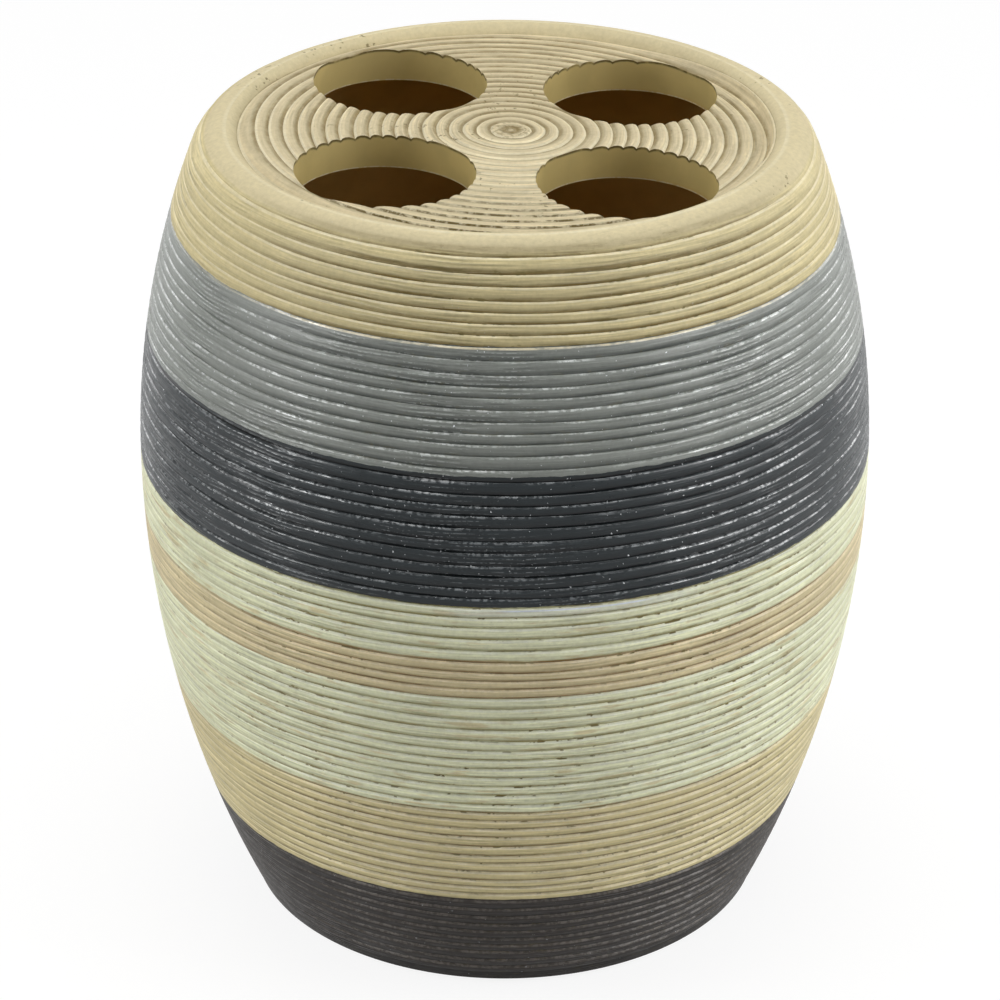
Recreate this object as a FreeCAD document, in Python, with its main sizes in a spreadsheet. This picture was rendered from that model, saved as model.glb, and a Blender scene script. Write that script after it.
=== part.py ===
import FreeCAD, Part
import math
import os
import Sketcher

# Toothbrush holder: a ribbed, barrel-shaped resin casting with four brush holes in its top,
# closed underneath by a glued-in disc that stands on four foam pads.
# Millimetres. The origin is the centre of the pads' underside, +Z points up.

doc = FreeCAD.newDocument("toothbrush_holder")
sheet = doc.addObject("Spreadsheet::Sheet", "Sizes")

# Driving sizes: one plain number each, in millimetres unless the name says otherwise
DRIVING = (
    # barrel, outside: two arcs that meet upright at the belly
    ("belly_radius", 50.0),
    ("belly_height", 64.9),
    ("lower_arc_radius", 155.5),
    ("upper_arc_radius", 123.0),
    ("sole_chamfer", 0.8),
    # rim and top disc
    ("rim_height", 112.6),
    ("rim_round", 5.4),
    ("disc_drop", 1.2),
    ("rim_land", 1.1),
    # barrel, inside
    ("wall_thickness", 5.0),
    ("top_thickness", 4.6),
    ("cavity_corner", 2.5),
    # foot of the barrel: rebate for the disc and the ledge it is glued against
    ("sole_land", 2.3),
    ("ledge_width", 2.4),
    ("ledge_thickness", 3.0),
    ("ledge_slope_height", 5.0),
    # ribs turned into the side and rings turned into the top
    ("side_rib_count", 35),
    ("side_rib_depth", 0.45),
    ("side_rib_margin", 2.4),
    ("top_ring_count", 10),
    ("top_ring_depth", 0.4),
    ("top_eye_radius", 1.2),
    ("crest_trim", 0.02),
    # brush holes
    ("hole_count", 4),
    ("hole_radius", 11.8),
    ("hole_circle_radius", 22.1),
    ("hole_start_degrees", 45),
    # base plate and the bead of glue around it
    ("plate_thickness", 3.5),
    ("plate_chamfer", 0.4),
    ("bond_gap", 0.7),
    ("bead_clearance", 0.05),
    ("bead_hollow", 0.3),
    # anti-slip pads
    ("pad_count", 4),
    ("pad_radius", 6.0),
    ("pad_thickness", 1.6),
    ("pad_recess", 1.0),
    ("pad_clearance", 0.25),
    ("pad_edge_margin", 3.4),
    # how far a cut runs past the face it starts from
    ("overrun", 2.0),
)

# Derived sizes: formulas on the driving ones
DERIVED = (
    ("lower_centre", "belly_radius - lower_arc_radius"),
    ("upper_centre", "belly_radius - upper_arc_radius"),
    ("stand_off", "pad_thickness - pad_recess"),
    ("sole_edge_height", "stand_off + sole_chamfer"),
    ("sole_edge_radius", "lower_centre + sqrt(lower_arc_radius^2 - (belly_height - sole_edge_height)^2)"),
    ("sole_radius", "sole_edge_radius - sole_chamfer"),
    # the rim's round is tangent to the upper arc, so both centres and the meeting point are in line
    ("rim_centre_height", "rim_height - rim_round"),
    ("rim_arc_gap", "upper_arc_radius - rim_round"),
    ("rim_crest_radius", "upper_centre + sqrt(rim_arc_gap^2 - (rim_centre_height - belly_height)^2)"),
    ("rim_start_radius", "upper_centre + (rim_crest_radius - upper_centre) * upper_arc_radius / rim_arc_gap"),
    ("rim_start_height", "belly_height + (rim_centre_height - belly_height) * upper_arc_radius / rim_arc_gap"),
    ("disc_radius", "rim_crest_radius - rim_land"),
    ("disc_height", "rim_height - disc_drop"),
    ("ceiling_height", "disc_height - top_thickness"),
    # the cavity follows the outside at the wall's thickness
    ("cavity_belly_radius", "belly_radius - wall_thickness"),
    ("cavity_upper_arc", "upper_arc_radius - wall_thickness"),
    ("cavity_lower_arc", "lower_arc_radius - wall_thickness"),
    ("corner_start_height", "ceiling_height - cavity_corner"),
    ("corner_start_radius",
     "upper_centre + sqrt(cavity_upper_arc^2 - (corner_start_height - belly_height)^2)"),
    ("corner_radius", "corner_start_radius - cavity_corner"),
    ("rebate_radius", "sole_radius - sole_land"),
    ("ledge_radius", "rebate_radius - ledge_width"),
    ("ledge_underside", "stand_off + plate_thickness"),
    ("ledge_top", "ledge_underside + ledge_thickness"),
    ("cavity_foot_height", "ledge_top + ledge_slope_height"),
    ("cavity_foot_radius", "lower_centre + sqrt(cavity_lower_arc^2 - (belly_height - cavity_foot_height)^2)"),
    # ribs and rings are zigzags: a crest, a valley, a crest, and so on
    ("rib_bottom", "stand_off + side_rib_margin"),
    ("rib_step", "(rim_start_height - rib_bottom) / (2 * side_rib_count)"),
    ("rib_cut_radius", "belly_radius + overrun"),
    ("ring_step", "(disc_radius - top_eye_radius) / (2 * top_ring_count)"),
    ("ring_cut_height", "disc_height + overrun"),
    ("hole_bottom", "ceiling_height - overrun"),
    ("hole_depth", "top_thickness + disc_drop + 2 * overrun"),
    ("hole_x", "hole_circle_radius * cos(hole_start_degrees * 1deg)"),
    ("hole_y", "hole_circle_radius * sin(hole_start_degrees * 1deg)"),
    ("plate_radius", "rebate_radius - bond_gap"),
    ("bead_inner_radius", "plate_radius + bead_clearance"),
    ("bead_outer_radius", "rebate_radius - bead_clearance"),
    ("bead_bottom", "stand_off + bead_hollow"),
    ("recess_radius", "pad_radius + pad_clearance"),
    ("pad_circle_radius", "plate_radius - pad_edge_margin - recess_radius"),
    ("pad_x", "pad_circle_radius * cos(hole_start_degrees * 1deg)"),
    ("pad_y", "pad_circle_radius * sin(hole_start_degrees * 1deg)"),
)

row = 0


def add_cell(alias, content):
    """One named cell of the sheet, below the last one."""
    global row
    row = row + 1
    sheet.set(f"A{row}", alias)
    sheet.set(f"B{row}", content)
    sheet.setAlias(f"B{row}", alias)


for alias, number in DRIVING:
    add_cell(alias, str(number))
for alias, formula in DERIVED:
    add_cell(alias, "=" + formula)
doc.recompute()


def size(alias):
    """The number that a cell of the sheet holds."""
    value = sheet.get(alias)
    return float(getattr(value, "Value", value))


def cell(alias):
    """The name by which an expression refers to a cell."""
    return "Sizes." + alias


# Rib and ring corners, as more derived cells: even ones are crests, odd ones valleys
def side_rib_corners():
    """Corners of the side's zigzag, from the sole to the rim, as (radius, height) aliases."""
    corners = []
    for i in range(2 * int(size("side_rib_count")) + 1):
        height = f"side_rib_height_{i:02d}"
        radius = f"side_rib_radius_{i:02d}"
        cut = "crest_trim" if i % 2 == 0 else "side_rib_depth"
        add_cell(height, f"=rib_bottom + {i} * rib_step")
        below = f"lower_centre + sqrt(lower_arc_radius^2 - (belly_height - {height})^2)"
        above = f"upper_centre + sqrt(upper_arc_radius^2 - ({height} - belly_height)^2)"
        add_cell(radius, f"=({height} < belly_height ? {below} : {above}) - {cut}")
        corners.append((radius, height))
    return corners


def top_ring_corners():
    """Corners of the top's zigzag, from the eye at the middle outwards, as (radius, height) aliases."""
    corners = []
    for i in range(2 * int(size("top_ring_count")) + 1):
        height = f"top_ring_height_{i:02d}"
        radius = f"top_ring_radius_{i:02d}"
        cut = "crest_trim" if i % 2 == 0 else "top_ring_depth"
        add_cell(radius, f"=top_eye_radius + {i} * ring_step")
        add_cell(height, f"=disc_height - {cut}")
        corners.append((radius, height))
    return corners


side_ribs = side_rib_corners()
top_rings = top_ring_corners()
doc.recompute()


def origin_plane(body, role):
    """One of a body's own origin planes."""
    for feature in body.Origin.OriginFeatures:
        if feature.Role == role:
            return feature
    raise ValueError("no plane " + role)


def new_body(label):
    body = doc.addObject("PartDesign::Body", label)
    body.Label = label
    return body


def new_sketch(body, name, role):
    sketch = body.newObject("Sketcher::SketchObject", name)
    sketch.AttachmentSupport = (origin_plane(body, role), "")
    sketch.MapMode = "FlatFace"
    return sketch


def arc_between(first, last, radius):
    """A minor arc from first to last, and whether it runs counterclockwise.

    A positive radius has the arc's centre on the left of the way from first to last.
    """
    chord = last - first
    middle = (first + last) * 0.5
    left = FreeCAD.Vector(-chord.y, chord.x, 0).normalize()
    away = math.sqrt(radius ** 2 - (chord.Length / 2) ** 2)
    centre = middle + left * math.copysign(away, radius)
    circle = Part.Circle(centre, FreeCAD.Vector(0, 0, 1), abs(radius))
    start, end = (first, last) if radius > 0 else (last, first)
    start_angle = math.atan2(start.y - centre.y, start.x - centre.x)
    end_angle = math.atan2(end.y - centre.y, end.x - centre.x)
    if end_angle < start_angle:
        end_angle = end_angle + 2 * math.pi
    return Part.ArcOfCircle(circle, start_angle, end_angle), radius > 0


def draw_section(body, name, corners, arcs=None):
    """A closed half section on the body's XZ plane.

    Each corner is a pair of aliases, (radius, height), or None for a radius of zero. arcs gives, for the
    corner where an arc starts, its radius alias and 1 or -1 for a centre on the left or on the right.
    """
    arcs = arcs or {}
    sketch = new_sketch(body, name, "XZ_Plane")
    places = [FreeCAD.Vector(size(r) if r else 0, size(h), 0) for r, h in corners]
    edges = []
    starts = []
    ends = []
    for i, first in enumerate(places):
        last = places[(i + 1) % len(places)]
        if i in arcs:
            alias, side = arcs[i]
            edge, counterclockwise = arc_between(first, last, side * size(alias))
        else:
            edge, counterclockwise = Part.LineSegment(first, last), True
        edges.append(edge)
        starts.append(1 if counterclockwise else 2)
        ends.append(2 if counterclockwise else 1)
    sketch.addGeometry(edges, False)
    constraints = []
    bindings = []
    for i, (radius, height) in enumerate(corners):
        before = i - 1 if i else len(corners) - 1
        constraints.append(Sketcher.Constraint("Coincident", before, ends[before], i, starts[i]))
        if radius:
            bindings.append((len(constraints), radius))
            constraints.append(Sketcher.Constraint("DistanceX", -1, 1, i, starts[i], places[i].x))
        else:
            constraints.append(Sketcher.Constraint("PointOnObject", i, starts[i], -2))
        bindings.append((len(constraints), height))
        constraints.append(Sketcher.Constraint("DistanceY", -1, 1, i, starts[i], places[i].y))
        if i in arcs:
            alias, side = arcs[i]
            bindings.append((len(constraints), alias))
            constraints.append(Sketcher.Constraint("Radius", i, size(alias)))
    sketch.addConstraint(constraints)
    for index, alias in bindings:
        sketch.setExpression(f"Constraints[{index}]", cell(alias))
    return sketch


def draw_circle(body, name, x, y, radius, level):
    """A circle on a plane parallel to the body's XY plane, at the height of level."""
    sketch = new_sketch(body, name, "XY_Plane")
    sketch.setExpression("AttachmentOffset.Base.z", cell(level))
    centre = FreeCAD.Vector(size(x) if x else 0, size(y) if y else 0, 0)
    sketch.addGeometry(Part.Circle(centre, FreeCAD.Vector(0, 0, 1), size(radius)), False)
    sketch.addConstraint(Sketcher.Constraint("Radius", 0, size(radius)))
    sketch.setExpression("Constraints[0]", cell(radius))
    if x:
        sketch.addConstraint(Sketcher.Constraint("DistanceX", -1, 1, 0, 3, centre.x))
        sketch.addConstraint(Sketcher.Constraint("DistanceY", -1, 1, 0, 3, centre.y))
        sketch.setExpression("Constraints[1]", cell(x))
        sketch.setExpression("Constraints[2]", cell(y))
    else:
        sketch.addConstraint(Sketcher.Constraint("Coincident", 0, 3, -1, 1))
    return sketch


def turn(body, kind, name, sketch):
    """A full Revolution or Groove of a section about the vertical axis."""
    feature = body.newObject("PartDesign::" + kind, name)
    feature.Profile = sketch
    feature.ReferenceAxis = (sketch, ["V_Axis"])
    feature.Angle = 360
    sketch.Visibility = False
    doc.recompute()
    return feature


def around(body, name, feature, count):
    """Copies of a feature all round the vertical axis."""
    pattern = body.newObject("PartDesign::PolarPattern", name)
    pattern.Originals = [feature]
    pattern.Axis = (origin_plane(body, "Z_Axis"), [""])
    pattern.Angle = 360
    pattern.setExpression("Occurrences", cell(count))
    body.Tip = pattern
    doc.recompute()
    return pattern


# The casting: a hollow barrel, open underneath
def make_body_shell():
    body = new_body("body_shell")
    corners = [
        ("rebate_radius", "stand_off"),
        ("sole_radius", "stand_off"),
        ("sole_edge_radius", "sole_edge_height"),
        ("belly_radius", "belly_height"),
        ("rim_start_radius", "rim_start_height"),
        ("rim_crest_radius", "rim_height"),
        ("disc_radius", "disc_height"),
        (None, "disc_height"),
        (None, "ceiling_height"),
        ("corner_radius", "ceiling_height"),
        ("corner_start_radius", "corner_start_height"),
        ("cavity_belly_radius", "belly_height"),
        ("cavity_foot_radius", "cavity_foot_height"),
        ("ledge_radius", "ledge_top"),
        ("ledge_radius", "ledge_underside"),
        ("rebate_radius", "ledge_underside"),
    ]
    arcs = {
        2: ("lower_arc_radius", 1),
        3: ("upper_arc_radius", 1),
        4: ("rim_round", 1),
        10: ("cavity_upper_arc", -1),
        11: ("cavity_lower_arc", -1),
    }
    turn(body, "Revolution", "barrel", draw_section(body, "barrel_section", corners, arcs))
    blank = body.Shape.Volume

    # the ribs: everything outside the zigzag is turned away
    side_cut = [("rib_cut_radius", side_ribs[0][1])] + side_ribs + [("rib_cut_radius", side_ribs[-1][1])]
    turn(body, "Groove", "side_ribs", draw_section(body, "side_rib_section", side_cut))
    ribbed = body.Shape.Volume

    # the rings: everything above the zigzag is turned away
    top_cut = [(top_rings[0][0], "ring_cut_height")] + top_rings + [(top_rings[-1][0], "ring_cut_height")]
    turn(body, "Groove", "top_rings", draw_section(body, "top_ring_section", top_cut))
    ringed = body.Shape.Volume

    hole = body.newObject("PartDesign::Pocket", "brush_hole")
    hole.Profile = draw_circle(body, "brush_hole_circle", "hole_x", "hole_y", "hole_radius", "hole_bottom")
    hole.setExpression("Length", cell("hole_depth"))
    hole.Reversed = True
    doc.recompute()
    around(body, "brush_holes", hole, "hole_count")
    volumes = (blank, ribbed, ringed, body.Shape.Volume)
    print("casting, mm3 after each cut:", [round(volume) for volume in volumes])
    for before, after in zip(volumes, volumes[1:]):
        if after >= before:
            raise ValueError("a cut in the casting removed nothing")
    return body


# The disc that closes the underside, with a shallow recess for each pad
def make_base_plate():
    body = new_body("base_plate")
    disc = body.newObject("PartDesign::Pad", "disc")
    disc.Profile = draw_circle(body, "disc_circle", None, None, "plate_radius", "stand_off")
    disc.setExpression("Length", cell("plate_thickness"))
    doc.recompute()
    edge = body.newObject("PartDesign::Chamfer", "disc_edge")
    rims = [f"Edge{i + 1}" for i, e in enumerate(disc.Shape.Edges) if e.Curve.TypeId == "Part::GeomCircle"]
    edge.Base = (disc, rims)
    edge.setExpression("Size", cell("plate_chamfer"))
    doc.recompute()
    plain = body.Shape.Volume
    recess = body.newObject("PartDesign::Pocket", "pad_recess")
    recess.Profile = draw_circle(body, "pad_recess_circle", "pad_x", "pad_y", "recess_radius", "stand_off")
    recess.setExpression("Length", cell("pad_recess"))
    recess.Reversed = True
    doc.recompute()
    around(body, "pad_recesses", recess, "pad_count")
    print("base plate, mm3 before and after its recesses:", round(plain), round(body.Shape.Volume))
    if body.Shape.Volume >= plain:
        raise ValueError("the recesses removed nothing")
    return body


# The bead of glue in the gap between the disc and the casting
def make_bond_bead():
    body = new_body("bond_bead")
    corners = [
        ("bead_inner_radius", "bead_bottom"),
        ("bead_outer_radius", "bead_bottom"),
        ("bead_outer_radius", "ledge_underside"),
        ("bead_inner_radius", "ledge_underside"),
    ]
    turn(body, "Revolution", "bead", draw_section(body, "bead_section", corners))
    return body


# One die-cut foam pad, at its own place on the pads' circle
def make_pad(index):
    pad = doc.addObject("Part::Cylinder", f"foot_{index + 1}")
    pad.Label = f"foot_{index + 1}"
    pad.setExpression("Radius", cell("pad_radius"))
    pad.setExpression("Height", cell("pad_thickness"))
    turned = f"({cell('hole_start_degrees')} + {index} * 360 / {cell('pad_count')}) * 1deg"
    pad.setExpression("Placement.Base.x", f"{cell('pad_circle_radius')} * cos({turned})")
    pad.setExpression("Placement.Base.y", f"{cell('pad_circle_radius')} * sin({turned})")
    return pad


pieces = [make_body_shell(), make_base_plate(), make_bond_bead()]
for pad_index in range(int(size("pad_count"))):
    pieces.append(make_pad(pad_index))
doc.recompute()

# Nothing is written unless every object of the document came out whole
for item in doc.Objects:
    if "Invalid" in item.State or "Error" in item.State:
        raise ValueError(f"{item.Label} failed: {item.State}")
for piece in pieces:
    if piece.Shape.isNull() or not piece.Shape.isValid():
        raise ValueError(f"{piece.Label} has no valid shape")

os.makedirs("parts", exist_ok=True)
for piece in pieces:
    box = piece.Shape.BoundBox
    print(f"{piece.Label}: {len(piece.Shape.Solids)} solid, {piece.Shape.Volume:.0f} mm3,"
          f" z {box.ZMin:.2f} to {box.ZMax:.2f}, x to {box.XMax:.2f}")
    piece.Shape.exportStep(f"parts/{piece.Label}.step")
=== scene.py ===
# %% [markdown]
# # Dressing a ribbed toothbrush holder
# The real holder is one hollow casting of stone-filled resin, painted in matte bands, with a glued disc and
# four foam pads underneath. The packed model gives every piece its size and place. This lesson gives the
# casting its full set of ribs, its cut brush holes and its paint, and the small pieces their finish.

# %% Load the packed model
import math
import random
from collections import namedtuple

import bmesh
import bpy
from mathutils import Matrix, Vector


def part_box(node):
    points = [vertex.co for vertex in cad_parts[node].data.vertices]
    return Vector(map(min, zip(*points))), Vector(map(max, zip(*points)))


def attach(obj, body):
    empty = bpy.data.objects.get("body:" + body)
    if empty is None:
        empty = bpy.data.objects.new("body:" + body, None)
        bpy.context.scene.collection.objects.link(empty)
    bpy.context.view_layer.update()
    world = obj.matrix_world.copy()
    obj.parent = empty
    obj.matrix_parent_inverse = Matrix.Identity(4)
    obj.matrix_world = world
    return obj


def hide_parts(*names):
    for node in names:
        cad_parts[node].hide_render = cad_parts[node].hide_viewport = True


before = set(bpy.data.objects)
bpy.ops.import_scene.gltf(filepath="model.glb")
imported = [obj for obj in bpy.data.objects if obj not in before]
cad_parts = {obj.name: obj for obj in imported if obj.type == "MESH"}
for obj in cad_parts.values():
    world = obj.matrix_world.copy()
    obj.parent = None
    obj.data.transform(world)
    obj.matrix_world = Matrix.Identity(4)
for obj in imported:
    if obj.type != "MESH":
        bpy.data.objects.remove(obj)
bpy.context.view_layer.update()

print("nodes:", sorted(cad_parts))

# %% [markdown]
# ## The barrel's outline
# Seen from the side the barrel is two arcs that meet upright at the belly, and a tight round at the rim.
# A curve could be drawn over the photograph by eye, but the packed casting already has the right outline.
# Its largest radius and both ends are read from its box, and the arcs and the belly's height are its own
# drawing sizes, so the dressed barrel lies exactly over the plain one.

# %% Sizes of the casting
MM = 0.001
shell_low, shell_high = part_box("body_shell")

BELLY_RADIUS = min(abs(part) for part in (*shell_low.xy, *shell_high.xy))
BELLY_HEIGHT = 64.9 * MM
LOWER_ARC = 155.5 * MM
UPPER_ARC = 123 * MM
RIM_ROUND = 5.4 * MM
RIM_HEIGHT = shell_high.z
SOLE_HEIGHT = shell_low.z
SOLE_CHAMFER = 0.8 * MM
SOLE_WIDTH = 2.3 * MM
WALL = 5 * MM
TOP_THICKNESS = 4.6 * MM
CREST_TO_DISC = 1.1 * MM
DISC_DROP = 1.2 * MM
DISC_HEIGHT = RIM_HEIGHT - DISC_DROP
CEILING_HEIGHT = DISC_HEIGHT - TOP_THICKNESS


def barrel_radius(height, inset=0.0):
    """Radius of the barrel at a height, or of a surface that lies inset inside it."""
    arc = LOWER_ARC if height < BELLY_HEIGHT else UPPER_ARC
    rise = height - BELLY_HEIGHT
    return BELLY_RADIUS - arc + math.sqrt((arc - inset) ** 2 - rise ** 2)


# The rim's round touches the upper arc from inside, so both centres and the touching point are in line
rim_centre_height = RIM_HEIGHT - RIM_ROUND
rim_crest_radius = barrel_radius(rim_centre_height, RIM_ROUND)
stretch = UPPER_ARC / (UPPER_ARC - RIM_ROUND)
rim_start_height = BELLY_HEIGHT + (rim_centre_height - BELLY_HEIGHT) * stretch
DISC_RADIUS = rim_crest_radius - CREST_TO_DISC
print(f"rim crest radius {rim_crest_radius / MM:.2f} mm, rim starts at {rim_start_height / MM:.2f} mm")

# %% [markdown]
# ## Ribs and rings
# The model for the casting was turned by hand: about seventy narrow grooves run round the side, and
# nineteen round the top. A bump could draw them, but it would leave the outline of the barrel and the edges
# of the holes smooth, so they are real steps in the section. The paint bands end in grooves, so the ribs
# are counted band by band, and small random differences keep the grooves from looking machined.

# %% Bands and grooves
Band = namedtuple("Band", "paint start ribs overrun")
# start is the height of the band's lowest groove, and overrun is how far its paint runs below that groove
BANDS = (
    Band("brown", 1.9 * MM, 10, 0.0),
    Band("tan", 17.5 * MM, 11, 0.0),
    Band("green", 34.1 * MM, 12, 0.0),
    Band("warm_tan", 52.9 * MM, 4, 0.0),
    Band("green", 58.5 * MM, 5, 0.0),
    Band("slate", 66.4 * MM, 11, 0.08 * MM),
    Band("grey", 83.8 * MM, 11, -0.22 * MM),
    Band("cream", 100.5 * MM, 6, 0.32 * MM),
)
RIM_GROOVE_ANGLE = math.radians(44)
TOP_RINGS = 19
EYE_RADIUS = 0.9 * MM
RIB_SPREAD, RING_SPREAD = 0.13, 0.07
SEED = 11
chance = random.Random(SEED)


def uneven_steps(first, last, count, spread):
    """Places from first to last, in count steps of slightly different length."""
    steps = [1 + chance.uniform(-spread, spread) for _ in range(count)]
    scale = (last - first) / sum(steps)
    places = [first]
    for step in steps:
        places.append(places[-1] + step * scale)
    return places


rim_start_angle = math.asin((rim_start_height - rim_centre_height) / RIM_ROUND)
rim_groove_way = rim_start_height + (RIM_GROOVE_ANGLE - rim_start_angle) * RIM_ROUND
crest_way = rim_start_height + (math.pi / 2 - rim_start_angle) * RIM_ROUND
groove_ways = []
band_ends = [band.start for band in BANDS[1:]] + [rim_start_height]
for band, end in zip(BANDS, band_ends):
    groove_ways.extend(uneven_steps(band.start, end, band.ribs, RIB_SPREAD)[:-1])
groove_ways.extend([rim_start_height, rim_groove_way])
ring_radii = uneven_steps(EYE_RADIUS, DISC_RADIUS, TOP_RINGS, RING_SPREAD)
print(len(groove_ways), "grooves on the side,", len(ring_radii), "on the top")

# %% [markdown]
# ### One number for a place on the outside
# A rib could be placed by its height, but the rim curls over and heights run out there. So every point of
# the outside gets a way, which is its height up to the rim and then the length of the rim's round. With it,
# a point can later slide along the surface or sink into it without leaving the outline.

# %% The outside as a path


def outside(way, sink):
    """Radius and height of the point at a way along the outside, sink below its surface."""
    if way > rim_start_height:
        angle = rim_start_angle + (way - rim_start_height) / RIM_ROUND
        reach = RIM_ROUND - sink
        return rim_crest_radius + reach * math.cos(angle), rim_centre_height + reach * math.sin(angle)
    arc = LOWER_ARC if way < BELLY_HEIGHT else UPPER_ARC
    tilt = math.asin((way - BELLY_HEIGHT) / arc)
    return barrel_radius(way) - sink * math.cos(tilt), way - sink * math.sin(tilt)


print(f"the way is {crest_way / MM:.1f} mm long up to the rim's crest")

# %% [markdown]
# ### The profile of a rib
# Each rib has a broad, nearly flat face and a sharp upper shoulder next to the groove above, so light draws
# a bright line under a dark one. An even wave would look like rope. A few points per rib, written as shares
# of its pitch and of the groove's depth, give the lopsided shape, and they fit ribs of any width.

# %% Profiles as shares of the pitch and of the depth
RIB_SHARES = ((0.0, 1.0), (0.10, 0.60), (0.34, 0.26), (0.80, 0.0), (0.92, 0.20))
RING_SHARES = ((0.0, 1.0), (0.13, 0.52), (0.36, 0.14), (0.64, 0.0), (0.87, 0.30))
SHOULDER_SHARES = (
    (0.0, 0.7), (0.07, 0.25), (0.16, 0.0), (0.30, 0.0), (0.42, 0.18),
    (0.54, 0.0), (0.68, 0.0), (0.80, 0.14), (0.91, 0.0),
)
EYE_DEPTH_SHARE = 0.15
RIB_DEPTH = 0.28 * MM
RING_DEPTH = 0.38 * MM
PLAIN_PHASE = 0.5
CLEAR_PHASE = 0.3

section = []


def add_point(radius, height, way=0.0, sink=0.0, phase=PLAIN_PHASE):
    section.append((radius, height, way, sink, phase))


def add_outside(way, depth_share, phase=PLAIN_PHASE):
    sink = RIB_DEPTH * depth_share
    add_point(*outside(way, sink), way, sink, phase)


def add_top(radius, depth_share, phase=PLAIN_PHASE):
    """A point of the ringed disc, whose way goes on from the rim's crest towards the middle."""
    sink = RING_DEPTH * depth_share
    add_point(radius, DISC_HEIGHT - sink, crest_way + rim_crest_radius - radius, sink, phase)


print(len(RIB_SHARES), "points per rib,", len(RING_SHARES), "per ring")

# %% [markdown]
# ### Drawing the section
# A lathe needs half of the shape, cut through the axis. The outside goes from the sole over the rim to the
# middle of the top. Each point keeps its phase, its place within its rib, which the paint reads later. The
# rim's own shoulder is smooth but for two shallow marks, and only its groove takes wash and painted shade,
# so its other points have a clear phase.

# %% Section of the outside
CHAMFER_IN_SHARE, CHAMFER_UP_SHARE = 0.25, 0.3
sole_edge_radius = barrel_radius(SOLE_HEIGHT + SOLE_CHAMFER)
rebate_radius = sole_edge_radius - SOLE_CHAMFER - SOLE_WIDTH
add_point(rebate_radius, SOLE_HEIGHT)
add_point(sole_edge_radius - SOLE_CHAMFER, SOLE_HEIGHT)
add_point(sole_edge_radius - CHAMFER_IN_SHARE * SOLE_CHAMFER, SOLE_HEIGHT + CHAMFER_UP_SHARE * SOLE_CHAMFER)
for low, high in zip(groove_ways, groove_ways[1:]):
    for share, depth_share in RIB_SHARES:
        add_outside(low + share * (high - low), depth_share, share)
for share, depth_share in SHOULDER_SHARES:
    shoulder_way = rim_groove_way + share * (crest_way - rim_groove_way)
    add_outside(shoulder_way, depth_share, max(share, CLEAR_PHASE) if share else 0.0)
add_outside(crest_way, 0.0)
for inner, outer in reversed(list(zip(ring_radii, ring_radii[1:]))):
    add_top(outer, 1.0, 0.0)
    for share, depth_share in reversed(RING_SHARES[1:]):
        add_top(inner + share * (outer - inner), depth_share, share)
add_top(ring_radii[0], 1.0, 0.0)
add_top(0.0, EYE_DEPTH_SHARE)
print("outer section:", len(section), "points")

# %% [markdown]
# ### The hollow inside
# Looking through a brush hole one sees the underside of the top and the far wall, so the casting needs its
# cavity. The Solidify modifier could thicken a skin, but it would copy every rib to the inside. The mould's
# core was smooth, so the section goes on round a smooth cavity, down to the ledge that the disc seats on.

# %% Section of the cavity, from the middle of the ceiling back to the rebate
LEDGE_WIDTH = 2.4 * MM
LEDGE_THICKNESS = 3 * MM
LEDGE_SLOPE = 5 * MM
CORNER = 2.5 * MM
WALL_STEPS = 16
ledge_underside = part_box("base_plate")[1].z
ledge_radius = rebate_radius - LEDGE_WIDTH
foot_height = ledge_underside + LEDGE_THICKNESS + LEDGE_SLOPE
corner_height = CEILING_HEIGHT - CORNER
add_point(0.0, CEILING_HEIGHT)
add_point(barrel_radius(corner_height, WALL) - CORNER, CEILING_HEIGHT)
for step in range(WALL_STEPS + 1):
    height = corner_height + (foot_height - corner_height) * step / WALL_STEPS
    add_point(barrel_radius(height, WALL), height)
add_point(ledge_radius, ledge_underside + LEDGE_THICKNESS)
add_point(ledge_radius, ledge_underside)
add_point(rebate_radius, ledge_underside)
print("whole section:", len(section), "points")

# %% [markdown]
# ## Turning the section
# The Screw modifier could turn an outline too, but it would have to be applied before its points could be
# moved. The spin operator does what the lathe did: it carries the closed section round the upright axis,
# and its points take their way, sink and phase along as layers. Doubles on the axis and on the seam are
# merged, and the normals are made to point outwards.

# %% Spin the casting
TURN_STEPS = 190
MERGE_GAP = 0.002 * MM
turned = bmesh.new()
way_layer = turned.verts.layers.float.new("way")
sink_layer = turned.verts.layers.float.new("sink")
phase_layer = turned.verts.layers.float.new("phase")
ring = []
for radius, height, way, sink, phase in section:
    v = turned.verts.new((radius, 0, height))
    v[way_layer] = way
    v[sink_layer] = sink
    v[phase_layer] = phase
    ring.append(v)
edges = [turned.edges.new((a, b)) for a, b in zip(ring, ring[1:] + ring[:1])]
bmesh.ops.spin(turned, geom=ring + edges, cent=(0, 0, 0), axis=(0, 0, 1), dvec=(0, 0, 0),
               angle=2 * math.pi, steps=TURN_STEPS, use_merge=True, use_duplicate=False)
bmesh.ops.remove_doubles(turned, verts=turned.verts, dist=MERGE_GAP)
bmesh.ops.recalc_face_normals(turned, faces=turned.faces)
print("turned casting:", len(turned.faces), "faces")

# %% [markdown]
# ## The hand of the maker
# Hand-turned grooves waver: each one drifts up and down and gets deeper and shallower on its way round. A
# noise texture on a Displace modifier could shift the points, but it would also push them off the outline.
# Sums of a few sine waves round the barrel close on themselves and stay smooth, and the way of each point
# shifts them, so that neighbouring ribs move nearly alike and distant ones don't.

# %% Waves round the barrel
WAVE_COUNTS = (2, 3, 5, 9, 14)
WAVE_SHIFT = 1.7
waves = [(n, chance.uniform(0, 2 * math.pi), chance.uniform(0, 2 * math.pi)) for n in WAVE_COUNTS]


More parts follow.
